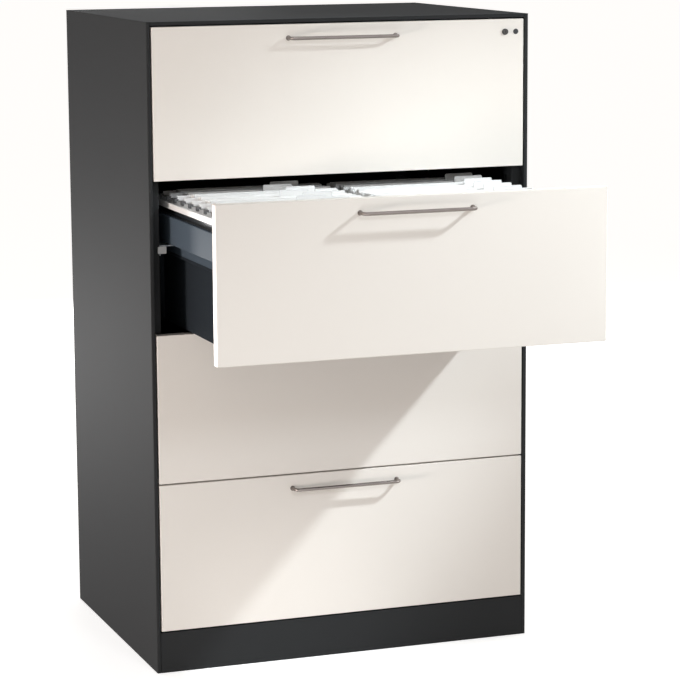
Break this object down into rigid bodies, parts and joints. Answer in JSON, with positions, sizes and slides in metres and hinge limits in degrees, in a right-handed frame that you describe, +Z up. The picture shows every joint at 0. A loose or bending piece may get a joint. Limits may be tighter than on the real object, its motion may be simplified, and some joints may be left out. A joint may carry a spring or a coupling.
{
  "type": "filing cabinet",
  "caption": "Tall steel filing cabinet with flush full-width drawers on telescopic rails, bow handles, a central lock and suspension files in the drawer that stands open.",
  "frame": {"origin": "middle of the cabinet's footprint, on the floor that the plinth stands on", "axes": "+Z up, -Y towards the drawer fronts, +X to the right as seen from the front"},
  "size_m": [0.8, 1.0375, 1.292],
  "materials": {
    "carcass_paint": "fine satin powder coat, anthracite",
    "front_paint": "smooth satin powder coat, warm white",
    "drawer_paint": "satin powder coat, dark blue grey",
    "profile_paint": "satin powder coat, blue grey",
    "hanger_paint": "smooth, white head on a dark web",
    "rail_zinc": "bright zinc plate",
    "handle_nickel": "brushed nickel",
    "screw_zinc": "bright zinc plate",
    "lock_black": "satin black",
    "lock_metal": "satin, dark",
    "cap_plastic": "matt black",
    "stop_plastic": "natural white nylon",
    "foot_plastic": "matt black pad on a steel screw",
    "file_card": "card and paper"
  },
  "bodies": {
    "carcass": {"left_side_panel": "carcass_paint", "right_side_panel": "carcass_paint", "top_panel": "carcass_paint", "back_panel": "carcass_paint", "floor_panel": "carcass_paint", "base_plinth": "carcass_paint", "left_posts": "carcass_paint", "right_posts": "carcass_paint", "rail_stops": "stop_plastic", "drawer_1_fixed_rails": "rail_zinc", "drawer_2_fixed_rails": "rail_zinc", "drawer_3_fixed_rails": "rail_zinc", "drawer_4_fixed_rails": "rail_zinc"},
    "drawer_1": {"drawer_1_front": "front_paint", "drawer_1_front_liner": "front_paint", "drawer_1_tray": "drawer_paint", "drawer_1_side_profiles": "profile_paint", "drawer_1_hanging_rails": "hanger_paint", "drawer_1_centre_rail": "drawer_paint", "drawer_1_handle": "handle_nickel", "drawer_1_handle_screws": "screw_zinc", "lock_housing": "lock_black", "cover_cap": "cap_plastic"},
    "drawer_2": {"drawer_2_front": "front_paint", "drawer_2_front_liner": "front_paint", "drawer_2_tray": "drawer_paint", "drawer_2_side_profiles": "profile_paint", "drawer_2_hanging_rails": "hanger_paint", "drawer_2_centre_rail": "drawer_paint", "drawer_2_handle": "handle_nickel", "drawer_2_handle_screws": "screw_zinc", "hanging_files_left": "file_card", "hanging_files_right": "file_card"},
    "drawer_3": {"drawer_3_front": "front_paint", "drawer_3_front_liner": "front_paint", "drawer_3_tray": "drawer_paint", "drawer_3_side_profiles": "profile_paint", "drawer_3_hanging_rails": "hanger_paint", "drawer_3_centre_rail": "drawer_paint", "drawer_3_handle": "handle_nickel", "drawer_3_handle_screws": "screw_zinc"},
    "drawer_4": {"drawer_4_front": "front_paint", "drawer_4_front_liner": "front_paint", "drawer_4_tray": "drawer_paint", "drawer_4_side_profiles": "profile_paint", "drawer_4_hanging_rails": "hanger_paint", "drawer_4_centre_rail": "drawer_paint", "drawer_4_handle": "handle_nickel", "drawer_4_handle_screws": "screw_zinc"},
    "middle_rails_1": {"drawer_1_middle_rails": "rail_zinc"},
    "middle_rails_2": {"drawer_2_middle_rails": "rail_zinc"},
    "middle_rails_3": {"drawer_3_middle_rails": "rail_zinc"},
    "middle_rails_4": {"drawer_4_middle_rails": "rail_zinc"},
    "lock": {"lock_barrel": "lock_metal", "lock_cam": "lock_metal"},
    "lock_bar": {"lock_bar": "rail_zinc"},
    "foot_front_left": {"levelling_foot_front_left": "foot_plastic"},
    "foot_front_right": {"levelling_foot_front_right": "foot_plastic"},
    "foot_rear_left": {"levelling_foot_rear_left": "foot_plastic"},
    "foot_rear_right": {"levelling_foot_rear_right": "foot_plastic"}
  },
  "joints": [
    {"name": "drawer_1_slide", "type": "slide", "parent": "carcass", "child": "drawer_1", "axis": [0, -1, 0], "range_m": [0, 0.54]},
    {"name": "middle_rails_1_slide", "type": "slide", "parent": "carcass", "child": "middle_rails_1", "axis": [0, -1, 0], "range_m": [0, 0.27]},
    {"name": "drawer_2_slide", "type": "slide", "parent": "carcass", "child": "drawer_2", "axis": [0, -1, 0], "range_m": [-0.395, 0.145]},
    {"name": "middle_rails_2_slide", "type": "slide", "parent": "carcass", "child": "middle_rails_2", "axis": [0, -1, 0], "range_m": [-0.1975, 0.0725]},
    {"name": "drawer_3_slide", "type": "slide", "parent": "carcass", "child": "drawer_3", "axis": [0, -1, 0], "range_m": [0, 0.54]},
    {"name": "middle_rails_3_slide", "type": "slide", "parent": "carcass", "child": "middle_rails_3", "axis": [0, -1, 0], "range_m": [0, 0.27]},
    {"name": "drawer_4_slide", "type": "slide", "parent": "carcass", "child": "drawer_4", "axis": [0, -1, 0], "range_m": [0, 0.54]},
    {"name": "middle_rails_4_slide", "type": "slide", "parent": "carcass", "child": "middle_rails_4", "axis": [0, -1, 0], "range_m": [0, 0.27]},
    {"name": "lock_turn", "type": "hinge", "parent": "drawer_1", "child": "lock", "pos_m": [0.3488, -0.3085, 1.2565], "axis": [0, -1, 0], "range_deg": [0, 90]},
    {"name": "lock_bar_lift", "type": "slide", "parent": "carcass", "child": "lock_bar", "axis": [0, 0, 1], "range_m": [0, 0.01202]},
    {"name": "foot_front_left_screw", "type": "slide", "parent": "carcass", "child": "foot_front_left", "axis": [0, 0, -1], "range_m": [0, 0.012]},
    {"name": "foot_front_right_screw", "type": "slide", "parent": "carcass", "child": "foot_front_right", "axis": [0, 0, -1], "range_m": [0, 0.012]},
    {"name": "foot_rear_left_screw", "type": "slide", "parent": "carcass", "child": "foot_rear_left", "axis": [0, 0, -1], "range_m": [0, 0.012]},
    {"name": "foot_rear_right_screw", "type": "slide", "parent": "carcass", "child": "foot_rear_right", "axis": [0, 0, -1], "range_m": [0, 0.012]}
  ],
  "couplings": [
    {"joint": "middle_rails_1_slide", "follows": "drawer_1_slide", "ratio": 0.5},
    {"joint": "middle_rails_2_slide", "follows": "drawer_2_slide", "ratio": 0.5},
    {"joint": "middle_rails_3_slide", "follows": "drawer_3_slide", "ratio": 0.5},
    {"joint": "middle_rails_4_slide", "follows": "drawer_4_slide", "ratio": 0.5},
    {"joint": "lock_turn", "follows": "lock_bar_lift", "rad_per_m": 130.67}
  ]
}
